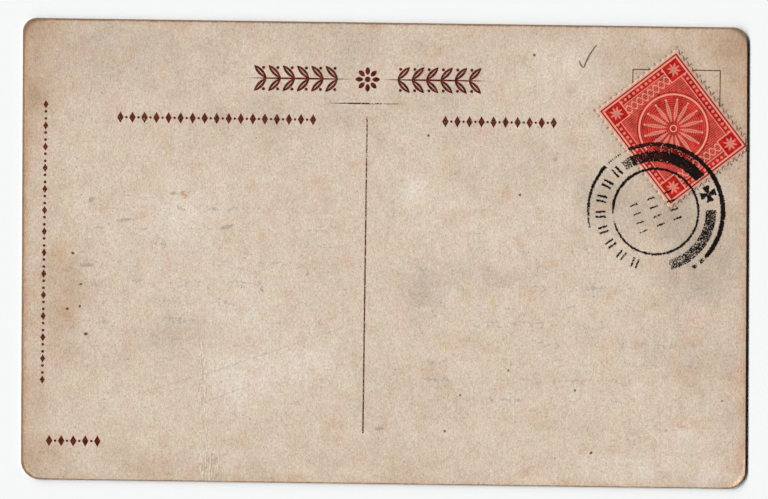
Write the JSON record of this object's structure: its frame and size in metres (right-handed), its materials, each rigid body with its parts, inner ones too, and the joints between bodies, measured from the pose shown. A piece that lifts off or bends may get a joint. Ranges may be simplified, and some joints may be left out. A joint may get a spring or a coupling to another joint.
{
  "type": "postcard",
  "caption": "Flat oblong picture postcard of pasted board, address side up, with printed ornaments and rules, a gummed perforated stamp and a round postmark across both.",
  "frame": {"origin": "middle of the picture side, which lies on the table", "axes": "+X along the long side towards the stamp, +Y along the short side towards the heading, +Z out of the address side"},
  "size_m": [0.1404, 0.0888, 0.0005],
  "materials": {
    "picture_ink": "matte",
    "liner_paper": "matte",
    "paste": "matte",
    "pulp_board": "matte",
    "letterpress_ink": "matte",
    "gum": "gloss",
    "stamp_paper": "matte",
    "stamp_ink": "matte",
    "postmark_ink": "matte",
    "graphite": "satin"
  },
  "bodies": {
    "root": {"picture_print": "picture_ink", "picture_liner": "liner_paper", "front_paste": "paste", "core_board": "pulp_board", "back_paste": "paste", "address_liner": "liner_paper", "heading_ornament": "letterpress_ink", "heading_rule": "letterpress_ink", "dividing_rule": "letterpress_ink", "message_label_ornament": "letterpress_ink", "address_label_ornament": "letterpress_ink", "side_imprint_ornament": "letterpress_ink", "corner_mark": "letterpress_ink", "stamp_box_outline": "letterpress_ink", "stamp_gum": "gum", "stamp_paper": "stamp_paper", "stamp_print": "stamp_ink", "postmark_ink": "postmark_ink", "pencil_mark": "graphite"}
  },
  "joints": []
}
